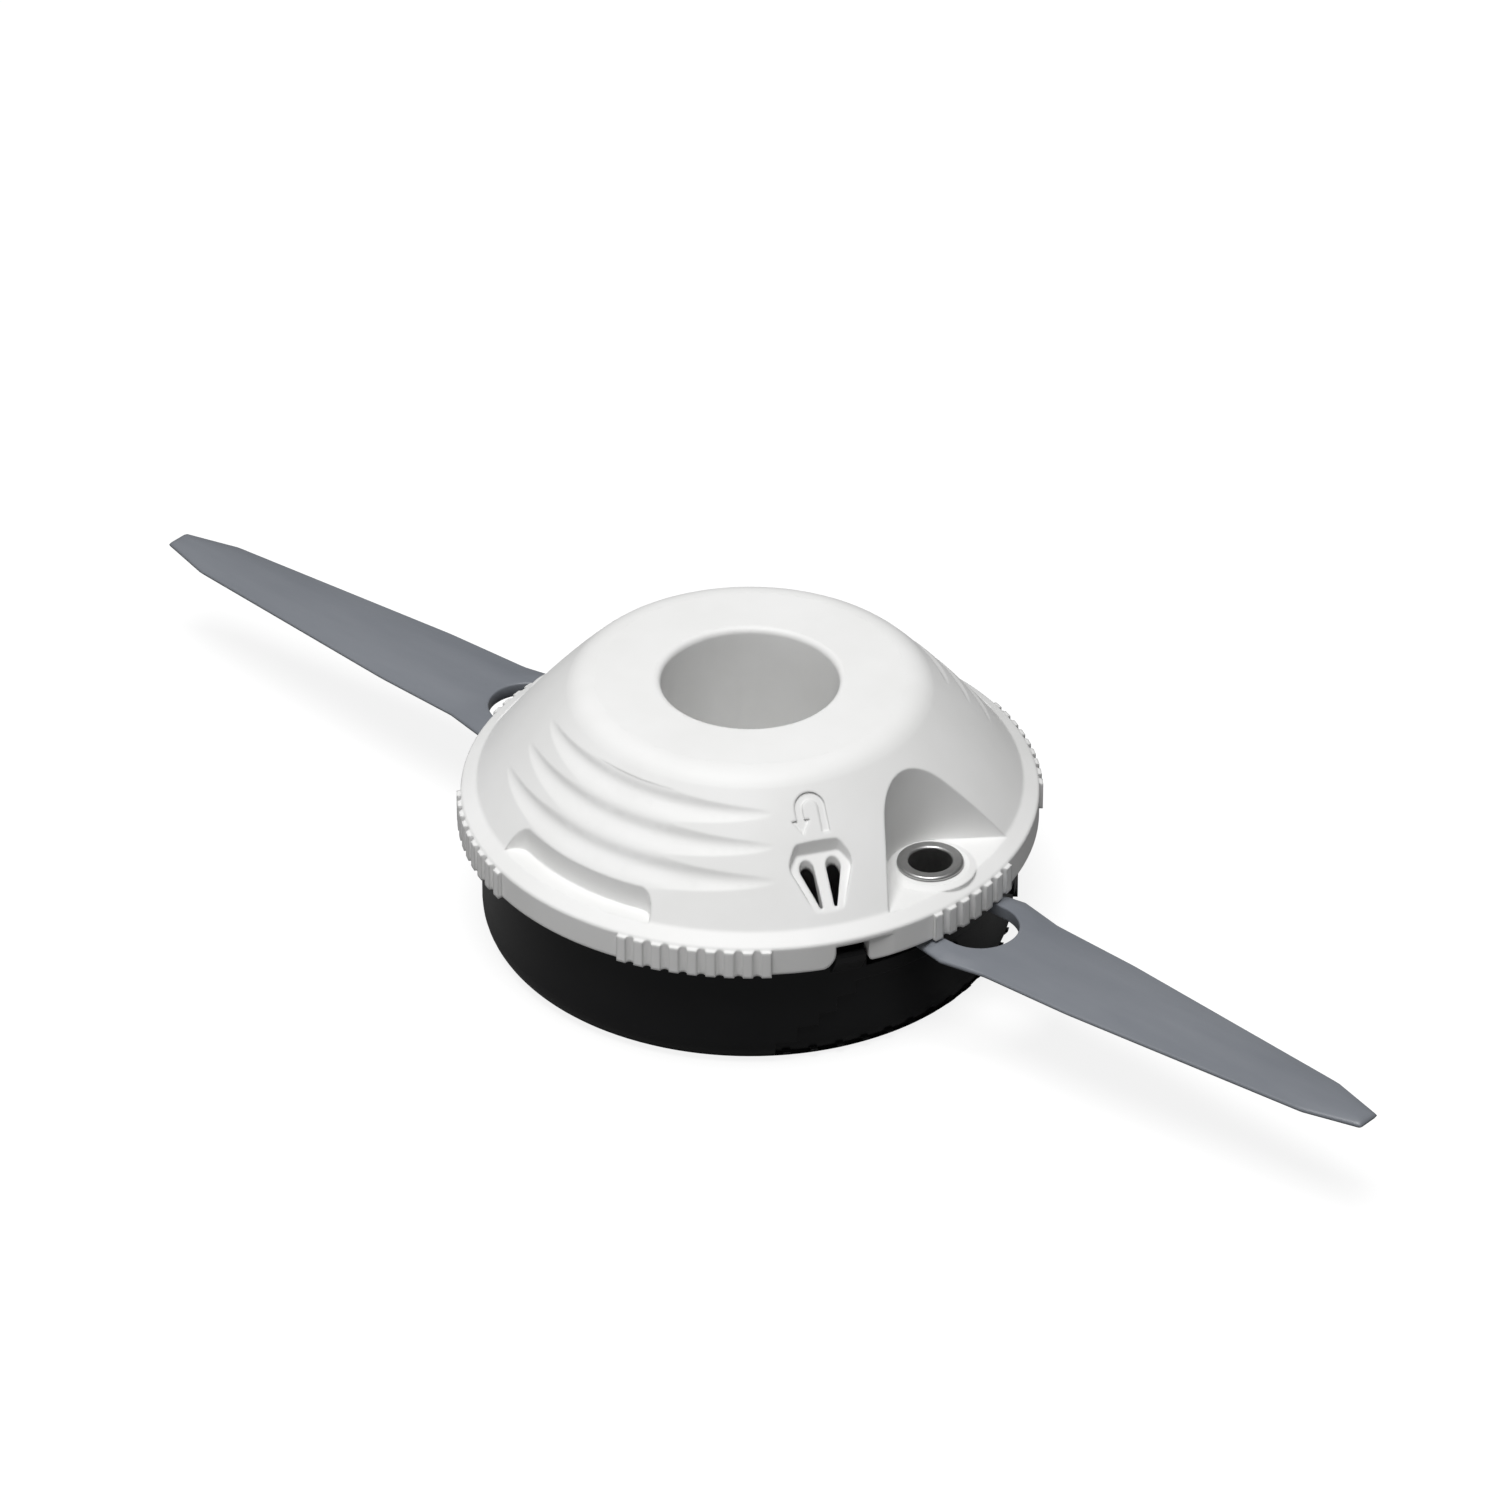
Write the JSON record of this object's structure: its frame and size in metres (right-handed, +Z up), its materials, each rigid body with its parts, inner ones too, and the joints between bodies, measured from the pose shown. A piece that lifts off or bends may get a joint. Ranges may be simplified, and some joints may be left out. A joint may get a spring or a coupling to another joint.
{
  "type": "plastic blade trimmer head",
  "caption": "Round trimmer head with a fluted domed cover, a shallow cup below it and swinging plastic blades on steel-lined bosses; screws onto a trimmer's drive spindle.",
  "frame": {"origin": "centre of the flat glide face under the lower housing, on the spin axis", "axes": "+Z up along the spin axis to the drive well; +X through the first blade's pivot to its tip"},
  "size_m": [0.2758, 0.1008, 0.0492],
  "materials": {
    "white_plastic": "fine moulded texture, satin",
    "black_plastic": "moulded, satin",
    "blade_plastic": "moulded nylon, satin",
    "steel": "turned, satin",
    "plated_steel": "turned and zinc plated"
  },
  "bodies": {
    "head": {"upper_housing": "white_plastic", "lower_housing": "black_plastic", "drive_insert": "plated_steel", "line_sleeve_1": "steel", "line_sleeve_2": "steel"},
    "blade_1": {"blade_1": "blade_plastic"},
    "blade_2": {"blade_2": "blade_plastic"}
  },
  "joints": [
    {"name": "blade_1_swing", "type": "hinge", "parent": "head", "child": "blade_1", "pos_m": [0.0412, 0, 0.01965], "axis": [0, 0, 1], "range_deg": [-42, 85]},
    {"name": "blade_2_swing", "type": "hinge", "parent": "head", "child": "blade_2", "pos_m": [-0.0412, 0, 0.01965], "axis": [0, 0, 1], "range_deg": [-42, 85]}
  ]
}
